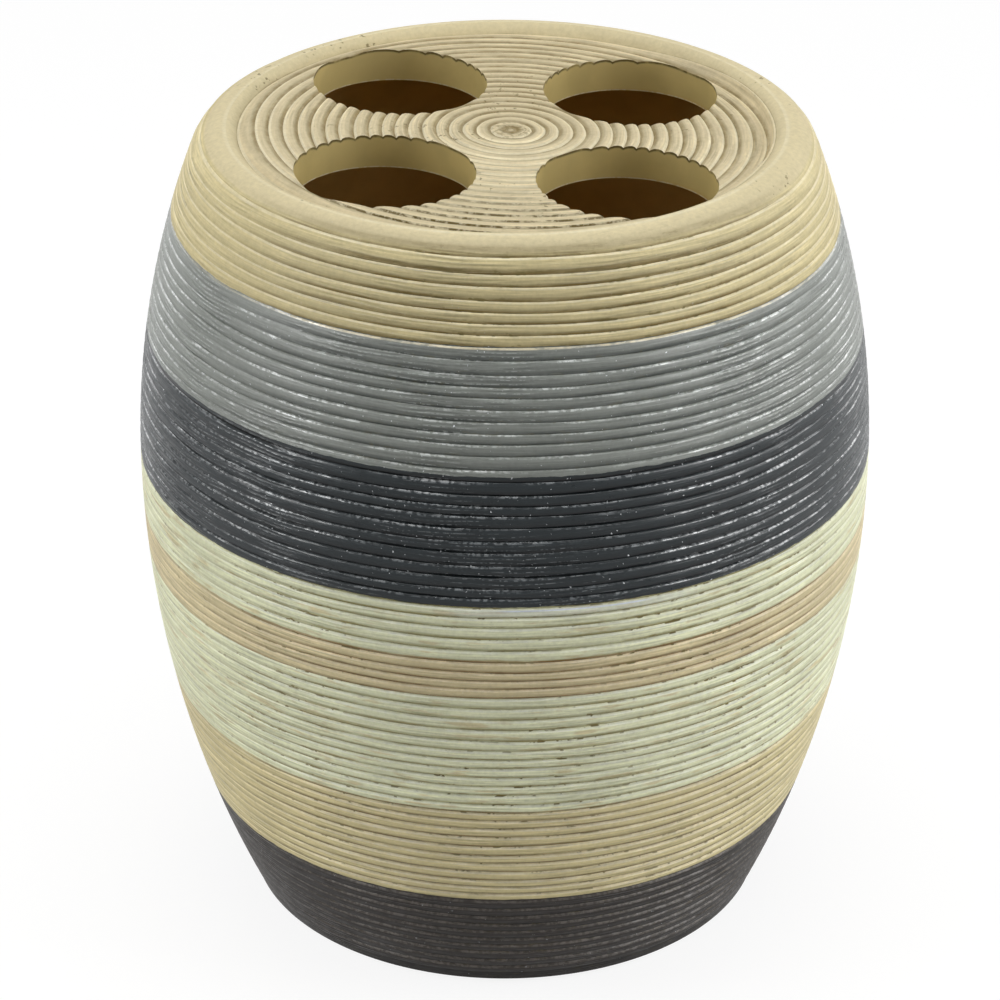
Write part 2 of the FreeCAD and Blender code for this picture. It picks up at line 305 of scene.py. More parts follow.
def waver(angle, way, pace):
    """A smooth value, mostly between -1 and 1, that changes round the barrel and from rib to rib."""
    total = 0.0
    for n, phase, drift in waves:
        total += math.sin(n * angle + phase + WAVE_SHIFT * math.sin(way / pace + drift * n)) / math.sqrt(n)
    return total / 2.0


def smooth_share(value, low, high):
    """0 up to low, 1 from high on, and an easy curve between."""
    share = min(1.0, max(0.0, (value - low) / (high - low)))
    return share * share * (3 - 2 * share)


print("waver at the front of the belly:", round(waver(-math.pi / 2, BELLY_HEIGHT, MM), 2))

# %% [markdown]
# ### The ribs of the side
# Towards the rim the ribs lean down a little to the right. They are fainter on the left and right of the
# barrel than in front and behind, though the left of the two metallic bands is spared most of that. The
# points slide along the outline and rise out of their grooves by the same two numbers, way and sink.

# %% Waver, lean and fade of the ribs
WAVER = 0.13 * MM
WAVER_PACE, DEPTH_PACE = 1.9 * MM, 0.9 * MM
RIB_LEAN = 0.0155
LEAN_START, LEAN_FULL = 60 * MM, 108 * MM
LEAST_DEPTH, MOST_DEPTH, DEPTH_SWING = 0.3, 1.4, 0.6
# Depths waver a turned way round, in radians, so that a groove isn't deepest where it drifts most
RIB_TURN, RING_TURN = 2, 1
METAL_START, METAL_FULL = 64 * MM, 67 * MM
METAL_WANES, METAL_ENDS = 97 * MM, 101 * MM
FAINT_LEFT, LEFT_FROM, LEFT_FULL = 0.85, 0.25, 0.72
FAINT_RIGHT, RIGHT_FROM, RIGHT_FULL = 0.55, 0.60, 0.90
METAL_SPARED = 0.6


def rib_depth_share(angle, way):
    """The share of its depth that a groove of the side keeps."""
    depth_share = 1 + DEPTH_SWING * waver(angle + RIB_TURN, way, DEPTH_PACE)
    depth_share = min(MOST_DEPTH, max(LEAST_DEPTH, depth_share))
    metallic = smooth_share(way, METAL_START, METAL_FULL) * (1 - smooth_share(way, METAL_WANES, METAL_ENDS))
    faint_left = FAINT_LEFT * (1 - METAL_SPARED * metallic)
    depth_share *= 1 - faint_left * smooth_share(-math.cos(angle), LEFT_FROM, LEFT_FULL)
    depth_share *= 1 - FAINT_RIGHT * smooth_share(math.cos(angle), RIGHT_FROM, RIGHT_FULL)
    return depth_share


for v in turned.verts:
    way = v[way_layer]
    if groove_ways[0] < way < crest_way:
        angle = math.atan2(v.co.y, v.co.x)
        free = smooth_share(way, groove_ways[0], groove_ways[2])
        free *= 1 - smooth_share(way, rim_groove_way, crest_way)
        slide = WAVER * waver(angle, way, WAVER_PACE)
        slide -= RIB_LEAN * smooth_share(way, LEAN_START, LEAN_FULL) * v.co.x
        radius, height = outside(way + slide * free, v[sink_layer] * rib_depth_share(angle, way))
        v.co = Vector((radius * math.cos(angle), radius * math.sin(angle), height))
print(f"ribs lean {math.degrees(RIB_LEAN):.1f} degrees at the rim and drift about {WAVER / MM} mm")

# %% [markdown]
# ### The ringed disc
# The rings of the top are faintest in the middle, on the far left and on the far right. A shallower section
# could take care of the middle alone, because the spin makes every direction alike. So each point is raised
# out of its groove afterwards, by the share of the depth that its place doesn't keep.

# %% Depth of the rings
MIDDLE_SHARE, LEFT_LOSS, RIGHT_LOSS = 0.5, 0.85, 0.45
FAINT_RADIUS, FULL_RADIUS = 3 * MM, 19 * MM
LEFT_FADE_START, LEFT_FADE_END = 24 * MM, 35 * MM
RIGHT_FADE_START, RIGHT_FADE_END = 22 * MM, 32 * MM
RING_SWING = 0.25
TOUCH = 0.1 * MM
disc_edge = DISC_RADIUS + 5 * MM


def ring_depth_share(x, radius, angle, way):
    """The share of its depth that a groove of the top keeps."""
    outer_share = MIDDLE_SHARE + (1 - MIDDLE_SHARE) * smooth_share(radius, FAINT_RADIUS, FULL_RADIUS)
    left_out = LEFT_LOSS * smooth_share(-x, LEFT_FADE_START, LEFT_FADE_END)
    left_out += RIGHT_LOSS * smooth_share(x, RIGHT_FADE_START, RIGHT_FADE_END)
    return outer_share * (1 - left_out) * (1 + RING_SWING * waver(angle + RING_TURN, way, DEPTH_PACE))


top_points = []
for v in turned.verts:
    radius = math.hypot(v.co.x, v.co.y)
    if v.co.z > CEILING_HEIGHT - TOUCH and radius < disc_edge:
        angle = math.atan2(v.co.y, v.co.x)
        if v[sink_layer] > 0:
            v.co.z += v[sink_layer] * (1 - ring_depth_share(v.co.x, radius, angle, v[way_layer]))
        top_points.append((v, radius, angle))
print(len(top_points), "points on the top and its ceiling")

# %% [markdown]
# ### The lean of the disc
# The disc leans down to the right and sits off the axis, so it meets the rim almost flush on the left and
# lies lower on the right, where a fillet of resin fills the last step up to the rim. Tilting the whole top
# would tear it from the rim. Instead each point takes a share of the lean and of the shift, which is whole
# inside the disc and fades to nothing across the rim. The ceiling below leans alike, so the top stays
# equally thick.

# %% Waver, lean and shift of the disc
DISC_LEAN = 0.033
DISC_SHIFT = 0.8 * MM
RING_WAVER = 0.10 * MM
RING_PACE = 1.3 * MM
STEP_START, STEP_END = DISC_RADIUS - 1.4 * MM, DISC_RADIUS - 0.1 * MM
FILLET_REACH = DISC_RADIUS + 0.2 * MM
FILLET_LIFT = 0.8 * MM
FILLET_START, FILLET_FULL = 15 * MM, 34 * MM
STEP_SHARE, RIM_SHARE = 0.7, 0.3
SMALLEST_RADIUS, CALM_RADIUS = 0.01 * MM, 2 * MM


def lean_share_and_fillet(x, radius):
    """How much of the disc's lean a point of the top takes, and how far the fillet lifts it."""
    in_step = smooth_share(radius, STEP_START, STEP_END)
    lean_share = 1 - STEP_SHARE * in_step - RIM_SHARE * smooth_share(radius, STEP_START, disc_edge)
    fillet = in_step * smooth_share(x, FILLET_START, FILLET_FULL) * FILLET_LIFT * (radius < FILLET_REACH)
    return lean_share, fillet


for v, radius, angle in top_points:
    is_ceiling = v.co.z < CEILING_HEIGHT + TOUCH
    share, fillet = (1, 0) if is_ceiling else lean_share_and_fillet(v.co.x, radius)
    v.co.z = min(v.co.z - share * DISC_LEAN * v.co.x + fillet, RIM_HEIGHT)
    if radius > SMALLEST_RADIUS:
        drift = RING_WAVER * waver(angle, v[way_layer], RING_PACE)
        stretched = 1 + drift * share / max(radius, CALM_RADIUS)
        v.co.x *= stretched
        v.co.y *= stretched
    v.co.x += share * DISC_SHIFT
print(f"disc leans {math.degrees(DISC_LEAN):.1f} degrees and sits {DISC_SHIFT / MM} mm off the axis")

# %% [markdown]
# ## Layers that the paint reads
# Dirt, thin paint and painted shade collect under each rib, and its upper shoulder is rubbed bright and
# gets a painted highlight, so the way and the phase of each point stay with the mesh for the finish. The
# phase runs from 0 in the groove below a rib to 1 in the groove above, so it has to jump at the groove.
# Corners of faces can hold such a jump, and points can't. The cut that comes next also carries over only
# what is kept at the corners.

# %% Move the layers to the corners
LATE_PHASE = 0.7
corner_way = turned.loops.layers.float.new("way")
corner_phase = turned.loops.layers.float.new("phase")
way_layer, phase_layer = turned.verts.layers.float["way"], turned.verts.layers.float["phase"]
for face in turned.faces:
    ends_in_groove = max(v[phase_layer] for v in face.verts) > LATE_PHASE
    for corner in face.loops:
        corner[corner_way] = corner.vert[way_layer]
        phase = corner.vert[phase_layer]
        corner[corner_phase] = 1.0 if ends_in_groove and phase == 0 else phase
for name in ("way", "sink", "phase"):
    turned.verts.layers.float.remove(turned.verts.layers.float[name])
print("layers at the corners:", list(turned.loops.layers.float.keys()))

# %% [markdown]
# ## Cutting the brush holes
# The holes go through after the rings, so each ring ends in a small scallop on the hole's edge. Building the
# scallops by hand would take a meeting point for every ring and hole. A boolean cut makes them by itself, so
# all that it needs is four plain cylinders on the diagonals, which move off the axis with the disc.

# %% Four punches
HOLE_RADIUS = 11.8 * MM
HOLE_CIRCLE = 22.1 * MM
HOLE_STEPS = 128
PUNCH_LENGTH = 4 * TOP_THICKNESS
PUNCH_LIFT = 2 * MM


def object_from(mesh_maker, name):
    """A new object in the scene from a bmesh, which is freed."""
    made_mesh = bpy.data.meshes.new(name)
    mesh_maker.to_mesh(made_mesh)
    mesh_maker.free()
    made = bpy.data.objects.new(name, made_mesh)
    bpy.context.scene.collection.objects.link(made)
    return made


casting = object_from(turned, "casting")
hole_places = []
for quarter in range(4):
    angle = math.radians(45 + 90 * quarter)
    spot = Vector((HOLE_CIRCLE * math.cos(angle) + DISC_SHIFT, HOLE_CIRCLE * math.sin(angle)))
    hole_places.append(spot)
punches = bmesh.new()
for spot in hole_places:
    bmesh.ops.create_cone(punches, cap_ends=True, segments=HOLE_STEPS, radius1=HOLE_RADIUS,
                          radius2=HOLE_RADIUS, depth=PUNCH_LENGTH,
                          matrix=Matrix.Translation((spot.x, spot.y, CEILING_HEIGHT + PUNCH_LIFT)))
punch = object_from(punches, "punch")
print("holes at, in mm:", [(round(spot.x / MM, 1), round(spot.y / MM, 1)) for spot in hole_places])

# %% [markdown]
# ### The cut
# The fast solver is unsure where a ring's face nearly touches the cut, so the exact one is used. A modifier
# left live would keep the punch in the scene, and the paint's layers have to be written on the finished
# corners. So the cut shape replaces the mesh at once, and the punch is thrown away.

# %% Cut the holes
cut = casting.modifiers.new("brush_holes", "BOOLEAN")
cut.operation = "DIFFERENCE"
cut.solver = "EXACT"
cut.object = punch
bpy.context.view_layer.update()
cut_mesh = bpy.data.meshes.new_from_object(casting.evaluated_get(bpy.context.evaluated_depsgraph_get()))
casting.modifiers.clear()
casting.data = cut_mesh
bpy.data.objects.remove(punch)
print("casting with its holes:", len(casting.data.polygons), "faces")

# %% [markdown]
# ## Paint outside, bare resin inside
# The cavity and the hole walls were never painted. Two materials could split them, but one finish that reads
# a third layer can also darken the walls' edges. The faces are found by place: a wall face has all its
# corners on a hole's cylinder, and a cavity face lies well inside the barrel's outline. The layer is 0 on
# paint and 1 in the cavity, and on a wall it climbs from its foot value to its top value. So a thin line
# can follow each scalloped edge.

# %% Find the bare faces
NEAR = 0.03 * MM
CEILING_MARGIN = 0.8 * MM
LEVEL_FACE = 0.5
mesh = casting.data
work = bmesh.new()
work.from_mesh(mesh)


def on_hole_wall(face):
    if abs(face.normal.z) >= LEVEL_FACE:
        return False
    for spot in hole_places:
        gaps = (abs(math.hypot(v.co.x - spot.x, v.co.y - spot.y) - HOLE_RADIUS) for v in face.verts)
        if all(gap < NEAR for gap in gaps):
            return True
    return False


def in_cavity(face):
    middle = face.calc_center_median()
    if not ledge_underside - NEAR < middle.z < CEILING_HEIGHT - DISC_LEAN * middle.x + CEILING_MARGIN:
        return False
    return math.hypot(middle.x, middle.y) < barrel_radius(middle.z, 0.5 * WALL)


wall_faces = {face for face in work.faces if on_hole_wall(face)}
bare_faces = wall_faces | {face for face in work.faces if in_cavity(face)}
print("bare faces:", len(bare_faces), "of", len(work.faces))

# %% [markdown]
# ### Marking the faces
# The whole casting is shaded smooth, as paint over turned resin is. The border between bare and painted
# faces and the sharpest corners stay crisp, so that shading doesn't smear across them. Then the casting
# takes the place of the packed one, on the same body.

# %% Write the third layer, keep edges crisp, hand the casting over
WALL_FOOT, WALL_TOP = 1.1, 2.1
CRISP_ANGLE = math.radians(62)
half_way_up = CEILING_HEIGHT + 0.5 * TOP_THICKNESS
bare_layer = work.loops.layers.float.new("bare")
for face in work.faces:
    face.smooth = True
    for corner in face.loops:
        if face in wall_faces:
            at_top = corner.vert.co.z + DISC_LEAN * corner.vert.co.x > half_way_up
            corner[bare_layer] = WALL_TOP if at_top else WALL_FOOT
        else:
            corner[bare_layer] = float(face in bare_faces)
for edge in work.edges:
    faces = edge.link_faces
    border = len(faces) == 2 and (faces[0] in bare_faces) != (faces[1] in bare_faces)
    edge.smooth = not (border or edge.calc_face_angle(0) > CRISP_ANGLE)
print("crisp edges:", sum(not edge.smooth for edge in work.edges))
work.to_mesh(mesh)
work.free()
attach(casting, "root")
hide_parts("body_shell")
print("casting size in mm:", [round(c / MM, 2) for c in casting.dimensions])

# %% [markdown]
# ## Painted resin
# The paint is matte and was brushed on in bands that end in grooves. One material per band could do it, but
# the bands share their wash, scratches and pits. So the finish is one material that reads the mesh's
# layers: stepped ramps over the way pick each band's colours, the phase brings in the wash and painted shade
# that lie in the grooves and the rubbed shoulders with their painted highlight, and noise stretched along
# the turning breaks all of them up. First come short ways to add nodes, because a material of this size is
# hard to read without them.

# %% Helpers for node trees


class Nodes:
    """A node tree with short ways to add to it."""

    def __init__(self, tree):
        self.nodes = tree.nodes
        self.links = tree.links

    def add(self, kind, **settings):
        node = self.nodes.new(kind)
        for key, value in settings.items():
            setattr(node, key, value)
        return node

    def feed(self, socket, value):
        """Link an output to a socket, or set the socket to a plain value."""
        if isinstance(value, bpy.types.NodeSocket):
            self.links.new(value, socket)
        else:
            socket.default_value = value

    def math(self, operation, first, second=0.0, clamp=False):
        node = self.add("ShaderNodeMath", operation=operation, use_clamp=clamp)
        self.feed(node.inputs[0], first)
        self.feed(node.inputs[1], second)
        return node.outputs[0]

    def chain(self, operation, first, others):
        for other in others:
            first = self.math(operation, first, other)
        return first

    def product(self, first, *others):
        return self.chain("MULTIPLY", first, others)

    def total(self, first, *others):
        return self.chain("ADD", first, others)

    def largest(self, first, *others):
        return self.chain("MAXIMUM", first, others)

    def rest(self, value):
        """What value leaves of 1."""
        return self.math("SUBTRACT", 1.0, value)

    def centred(self, noise):
        """A noise moved down, so that it swings about 0 and not about a half."""
        return self.math("SUBTRACT", noise, 0.5)

    def span(self, value, low, high, bottom=0.0, top=1.0):
        """value's stretch from low to high, spread from bottom to top and held there."""
        node = self.add("ShaderNodeMapRange", interpolation_type="SMOOTHSTEP")
        self.feed(node.inputs["Value"], value)
        for socket, number in zip(("From Min", "From Max", "To Min", "To Max"), (low, high, bottom, top)):
            node.inputs[socket].default_value = number
        return node.outputs["Result"]

    def falling(self, value, low, high):
        """1 up to low, 0 from high on."""
        return self.span(value, low, high, 1.0, 0.0)


print("helpers for numbers:", [name for name in vars(Nodes) if not name.startswith("_")])

# %% [markdown]
# ### Helpers for a finish
# A finish is a new material, whose first shader is already there, with the same helpers and some more: for
# the mesh's layers, noise, colours, vectors and bumps. The world of the studio needs only the first kind.

# %% Helpers for materials


class Finish(Nodes):
    """A new material and its nodes."""

    def __init__(self, name):
        self.material = bpy.data.materials.new(name)
        self.material.use_nodes = True
        super().__init__(self.material.node_tree)
        self.shader = self.nodes["Principled BSDF"]

    def layer(self, name):
        """One of the mesh's own layers."""
        return self.add("ShaderNodeAttribute", attribute_name=name).outputs["Fac"]

    def noise(self, vector, scale, detail=2.0, roughness=0.5):
        """Noise with scale lumps to the metre."""
        node = self.add("ShaderNodeTexNoise")
        self.feed(node.inputs["Vector"], vector)
        node.inputs["Scale"].default_value = scale
        node.inputs["Detail"].default_value = detail
        node.inputs["Roughness"].default_value = roughness
        return node.outputs["Fac"]

    def mix(self, share, first, second):
        """A blend of two colours, by the node's colour sockets; it has sockets for other kinds too."""
        node = self.add("ShaderNodeMix", data_type="RGBA")
        coloured = [socket for socket in node.inputs if socket.type == "RGBA"]
        self.feed(node.inputs[0], share)
        self.feed(coloured[0], first)
        self.feed(coloured[1], second)
        return next(socket for socket in node.outputs if socket.type == "RGBA")

    def scaled(self, colour, factor):
        """A colour made darker or lighter."""
        node = self.add("ShaderNodeVectorMath", operation="SCALE")
        self.feed(node.inputs[0], colour)
        self.feed(node.inputs["Scale"], factor)
        return node.outputs[0]

    def vector(self, *parts):
        node = self.add("ShaderNodeCombineXYZ")
        for socket, part in zip(node.inputs, parts):
            self.feed(socket, part)
        return node.outputs[0]

    def parts(self, vector):
        """The x, y and z of a vector."""
        node = self.add("ShaderNodeSeparateXYZ")
        self.feed(node.inputs[0], vector)
        return node.outputs

    def bump(self, height, strength, distance, under=None):
        node = self.add("ShaderNodeBump")
        self.feed(node.inputs["Height"], height)
        self.feed(node.inputs["Strength"], strength)
        node.inputs["Distance"].default_value = distance
        if under is not None:
            self.links.new(under, node.inputs["Normal"])
        return node.outputs["Normal"]


print("helpers for finishes:", [name for name in vars(Finish) if not name.startswith("_")])

# %% [markdown]
# ### Colours of the bands
# Each paint has a colour on the rib's face, a darker one for the wash and painted shade in the groove, and a
# lighter one where the shoulder is rubbed and gets a painted highlight. Four traits go with them: how
# pitted, how sparkling and how worn down to the tan undercoat the paint is, and its roughness. The slate and
# the grey hold a metallic powder and are smoother.

# %% Paints


def linear(red, green, blue):
    """A colour as it shows on screen, 0 to 255, turned into the linear colour that a shader takes."""
    parts = []
    for part in (red, green, blue):
        part = part / 255
        parts.append(part / 12.92 if part <= 0.04045 else ((part + 0.055) / 1.055) ** 2.4)
    return (*parts, 1.0)


Paint = namedtuple("Paint", "face groove lip traits")
PAINTS = {
    "brown": Paint(linear(38, 33, 30), linear(20, 17, 15), linear(92, 85, 78),
                   traits=(0.15, 0.3, 0.0, 0.55)),
    "tan": Paint(linear(213, 200, 152), linear(106, 84, 40), linear(242, 232, 202),
                 traits=(0.8, 0.1, 0.0, 0.62)),
    "green": Paint(linear(229, 231, 195), linear(138, 130, 80), linear(246, 248, 228),
                   traits=(1.0, 0.1, 0.55, 0.62)),
    "warm_tan": Paint(linear(214, 200, 158), linear(120, 92, 46), linear(242, 228, 196),
                      traits=(1.0, 0.2, 0.0, 0.62)),
    "slate": Paint(linear(35, 42, 45), linear(10, 13, 15), linear(84, 92, 96),
                   traits=(0.0, 1.0, 0.0, 0.36)),
    "grey": Paint(linear(137, 141, 135), linear(88, 92, 88), linear(186, 191, 187),
                  traits=(0.2, 1.0, 0.0, 0.38)),
    "cream": Paint(linear(210, 196, 148), linear(124, 106, 60), linear(232, 222, 190),
                   traits=(0.8, 0.15, 0.0, 0.62)),
}
print(len(PAINTS), "paints; half grey on screen is", round(linear(128, 128, 128)[0], 3), "in linear light")

# %% [markdown]
# ### Noise that follows the turning
# A brush and a lathe both leave marks that are long round the barrel and short across it. A Mapping node
# can only stretch noise along straight axes. Here noise reads x, y and the way, and the way runs several
# times faster, so each lump is drawn out round the barrel at every height. All the paint's noises are made
# in this cell: the larger the scale, the finer the lumps.

# %% Coordinates and noises
paint = Finish("painted_resin")
place = paint.add("ShaderNodeTexCoord").outputs["Object"]
place_x, place_y, place_z = paint.parts(place)
way, phase, bare = (paint.layer(name) for name in ("way", "phase", "bare"))


def turned_place(stretch, shift):
    """x, y and the way, which runs stretch times faster, so that noise is drawn out round the barrel."""
    return paint.vector(place_x, place_y, paint.total(paint.product(way, stretch), shift))


streak = paint.noise(turned_place(7.0, 0.0), 120.0, 4.0, 0.6)
line_streak = paint.noise(turned_place(24.0, 0.3), 140.0, 2.0, 0.55)
broken = paint.noise(turned_place(3.0, 0.9), 420.0, 3.0, 0.6)
lengths = paint.noise(turned_place(9.0, 1.3), 130.0, 2.0, 0.6)
wear = paint.noise(turned_place(6.0, 0.7), 150.0, 3.0, 0.6)
score_shift = paint.noise(turned_place(3.0, 2.1), 70.0)
score_patch = paint.noise(turned_place(1.0, 3.0), 60.0)
short_dashes = paint.noise(turned_place(2.2, 0.5), 900.0)
long_dashes = paint.noise(turned_place(5.0, 0.2), 400.0)
patch = paint.noise(place, 45.0)
speck_patch = paint.noise(place, 70.0, 1.0)
resin_patch = paint.noise(place, 160.0, 3.0)
border = paint.noise(place, 420.0, 3.0)
specks_noise = paint.noise(place, 1100.0)
speckle = paint.noise(place, 1500.0, 3.0, 0.65)
eye_speckle = paint.noise(place, 1500.0, 3.0)
powder = paint.noise(place, 1900.0)
glitter = paint.noise(place, 2400.0, 1.0)
print("coordinates and noises:", len(paint.nodes), "nodes")

# %% [markdown]
# ### Which band
# A colour ramp picks one of many colours by a single number, and its constant steps make clean borders. An
# image could hold the bands as well, but it would need a map onto the barrel. Here the number is the way,
# as a share of its full length. The brush didn't stop exactly in a groove, so a little noise is added to
# the way, which makes the borders slightly ragged.

# %% Band colours and traits
RAGGED_BORDER = 0.45 * MM
# The way at the middle of the top, where it ends
full_way = crest_way + rim_crest_radius


def band_ramp(finish, share, part):
    """A stepped ramp over the way, with one part of each band's paint."""
    node = finish.add("ShaderNodeValToRGB")
    node.color_ramp.interpolation = "CONSTANT"
    stops = node.color_ramp.elements
    while len(stops) < len(BANDS):
        stops.new(0.5)
    for i, band in enumerate(BANDS):
        stops[i].position = (band.start - band.overrun) / full_way if i else 0.0
        stops[i].color = getattr(PAINTS[band.paint], part)
    finish.feed(node.inputs["Fac"], share)
    return node


share = paint.math("DIVIDE", paint.total(way, paint.product(paint.centred(border), RAGGED_BORDER)), full_way)
face_colour, groove_colour, lip_colour = (
    band_ramp(paint, share, part).outputs["Color"] for part in ("face", "groove", "lip"))
trait_ramp = band_ramp(paint, share, "traits")
trait = paint.add("ShaderNodeSeparateColor")
paint.feed(trait.inputs[0], trait_ramp.outputs["Color"])
pitted, sparkling, worn = trait.outputs
band_roughness = trait_ramp.outputs["Alpha"]
print("with", len(BANDS), "bands:", len(paint.nodes), "nodes")

# %% [markdown]
# ### Which zone
# Two zones lie above the bands: the plain ring round the top starts past the rim's groove, and the ringed
# disc starts past the crest. The wash and painted shade in the grooves and the painted highlight on the
# shoulders are plain to see in front and hardly at the sides, where the lamps at the sides light the
# grooves.
# Vertex colours could be painted there by hand, but the direction round the axis already says how far a
# point faces the front, and a little more of the right side counts as front.

# %% Zones and the front
RIM_FROM, RIM_FULL = rim_groove_way + 0.3 * MM, rim_groove_way + 0.9 * MM
TOP_FROM, TOP_FULL = crest_way + 0.8 * MM, crest_way + 1.3 * MM
RIGHT_FAVOUR = 0.15
on_rim = paint.span(way, RIM_FROM, RIM_FULL)
on_disc = paint.span(way, TOP_FROM, TOP_FULL)
on_side = paint.rest(on_rim)
ribbed = paint.total(on_side, on_disc)
outwards = paint.add("ShaderNodeVectorMath", operation="NORMALIZE")
paint.feed(outwards.inputs[0], paint.vector(place_x, place_y))
facing = paint.parts(outwards.outputs[0])
aside = paint.math("SUBTRACT", facing["Y"], paint.product(facing["X"], RIGHT_FAVOUR))
front = paint.largest(paint.span(aside, -0.92, -0.45, 1.0, 0.2), on_disc)
print("with zones:", len(paint.nodes), "nodes")

# %% [markdown]
# ### Wash and painted shade, rubbed and highlit shoulders, undercoat
# A thin brown wash was brushed over the dry paint and wiped off: it stays in the grooves in uneven lengths,
# and painted shade darkens the same place, mostly in front. The shoulders are lighter in broken stretches,
# partly rubbed and partly a painted highlight. Each rib also gets painted shade and light in front: darker
# low, lighter towards the shoulder. On the pale green, worn spots show the tan undercoat. The metallic paint
# is a powder in a clear binder, so its rubbed, highlit lines fall apart into granules. Each of them is a
# share between 0 and 1, and the colour is mixed from the paint outwards.

# %% Mix the colours of the ribs
UNDERCOAT = linear(200, 178, 128)
RIM_FACE = linear(218, 205, 166)
TOP_FACE = linear(213, 199, 163)
in_groove = paint.falling(phase, 0.06, 0.46)
# Wash and painted shade together on the lower part of each rib, mostly in front
wash_and_shade = paint.product(in_groove, paint.span(streak, 0.30, 0.60, 0.35, 1.0), front,
                     paint.span(on_disc, 0.0, 1.0, 1.0, 0.6))
shoulder = paint.span(phase, 0.78, 0.87)
whole = paint.largest(paint.span(lengths, 0.40, 0.60), paint.span(sparkling, 0.2, 1.0, 0.85, 0.0))
granules = paint.span(powder, 0.42, 0.58)
held_together = paint.rest(paint.product(sparkling, paint.rest(granules)))
# Rubbed paint and a painted highlight together on each rib's upper shoulder, mostly in front
rubbed_and_highlit = paint.product(shoulder, paint.span(broken, 0.33, 0.58, 0.5, 1.0), whole,
                       paint.span(front, 0.2, 1.0, 0.6, 1.0), held_together)
worn_through = paint.product(worn, paint.span(wear, 0.54, 0.68))
# Painted shade and light on each rib in front: darker low, lighter towards the shoulder
light_on_rib = paint.product(paint.span(phase, 0.10, 0.85, -0.17, 0.07), front)

colour = paint.mix(worn_through, face_colour, UNDERCOAT)
colour = paint.mix(on_rim, colour, RIM_FACE)
colour = paint.mix(on_disc, colour, TOP_FACE)
colour = paint.scaled(colour, paint.total(light_on_rib, 1.0))
colour = paint.mix(wash_and_shade, colour, groove_colour)
colour = paint.mix(rubbed_and_highlit, colour, lip_colour)
print("with wash and wear:", len(paint.nodes), "nodes")

# %% [markdown]
# ### Fine scratches and dust
# The turning tool left scratches about half a millimetre apart, in patches. Plain noise gives blotches, not
# lines. A sine of the way gives lines that follow the ribs, and a slow shift bends them. Its crests take the
# groove colour of wash and painted shade, and its troughs the shoulder colour of rubbed paint and painted
# highlight. On the disc, dust lies on the inner slope of each ring.

# %% Add scratches and dust
FINE_PITCH = 0.55 * MM
BEND_ANGLE = 14.0
DUST = linear(138, 120, 80)
shift = paint.product(paint.centred(score_shift), BEND_ANGLE)
scratch = paint.math("SINE", paint.total(paint.product(way, 2 * math.pi / FINE_PITCH), shift))
scored = paint.product(paint.span(score_patch, 0.46, 0.58), paint.span(streak, 0.40, 0.56), on_side)
dark_scratch = paint.product(paint.span(scratch, 0.40, 0.90), scored)
pale_scratch = paint.product(paint.falling(scratch, -0.95, -0.60), scored, held_together)
scratch_share = paint.span(sparkling, 0.0, 1.0, 0.2, 0.5)
dusty = paint.product(on_disc, paint.span(broken, 0.42, 0.60), paint.span(phase, 0.05, 0.40, 0.55, 0.04))

colour = paint.mix(paint.product(dark_scratch, scratch_share), colour, groove_colour)
colour = paint.mix(paint.product(pale_scratch, scratch_share), colour, lip_colour)
colour = paint.mix(dusty, colour, DUST)
print("with scratches and dust:", len(paint.nodes), "nodes")

# %% [markdown]
# ### Pits, specks, dirt, painted shade and glints
# Air bubbles broke the surface in short dark dashes beside the grooves, and a few specks lie on the plain
# ring. At the front of the disc painted shade darkens the outer side of each ring, and the eye in the middle
# is speckled. Modelled pits would need far more faces than the mesh may have, and at this size they only
# read as colour. All of them are joined by the largest share, so none is counted twice. White specks on the
# metallic paints are painted glints of its powder.

# %% Add pits, specks, dirt, painted shade and glints
DIRT_AND_SHADE = linear(102, 88, 48)
SIDE_DIRT = linear(122, 110, 64)
GLINT_WHITE = linear(228, 231, 234)
PITS_WANE, PITS_RARE = crest_way - 1.5 * MM, crest_way - 0.5 * MM
DIRT_FULL_Y, DIRT_END_Y = -31 * MM, -15 * MM
EYE_START, EYE_FULL = full_way - 4.0 * MM, full_way - 2.0 * MM
beside_groove = paint.largest(paint.span(phase, 0.12, 0.36, 1.0, 0.08), paint.span(phase, 0.93, 0.97))
pits = paint.largest(paint.span(short_dashes, 0.61, 0.67),
                     paint.product(paint.span(long_dashes, 0.59, 0.64), front))
pits = paint.product(pits, beside_groove, paint.span(patch, 0.38, 0.58, 0.2, 1.0), pitted,
                     paint.span(way, PITS_WANE, PITS_RARE, 1.0, 0.15),
                     paint.span(front, 0.2, 1.0, 0.45, 1.0))
outer_side = paint.largest(paint.span(phase, 0.81, 0.89), paint.falling(phase, 0.04, 0.12))
# Painted shade on the outer side of each ring, at the front of the disc
ring_shade = paint.product(on_disc, paint.falling(place_y, DIRT_FULL_Y, DIRT_END_Y), outer_side,
                          paint.span(broken, 0.38, 0.55, 0.35, 1.0),
                          paint.span(speckle, 0.36, 0.52, 0.4, 1.0))
specks = paint.product(paint.span(specks_noise, 0.63, 0.70), on_rim,
                       paint.span(speck_patch, 0.52, 0.62, 0.0, 0.7))
eye = paint.product(paint.span(way, EYE_START, EYE_FULL), paint.span(eye_speckle, 0.46, 0.60, 0.0, 0.45))
# Painted glints: white specks on the metallic paints
painted_glints = paint.product(paint.span(glitter, 0.75, 0.80), sparkling)

dirt_and_shade_colour = paint.mix(on_rim, SIDE_DIRT, DIRT_AND_SHADE)
colour = paint.mix(paint.largest(pits, ring_shade, specks, eye), colour, dirt_and_shade_colour)
colour = paint.mix(painted_glints, colour, GLINT_WHITE)
print("with pits and dirt:", len(paint.nodes), "nodes")
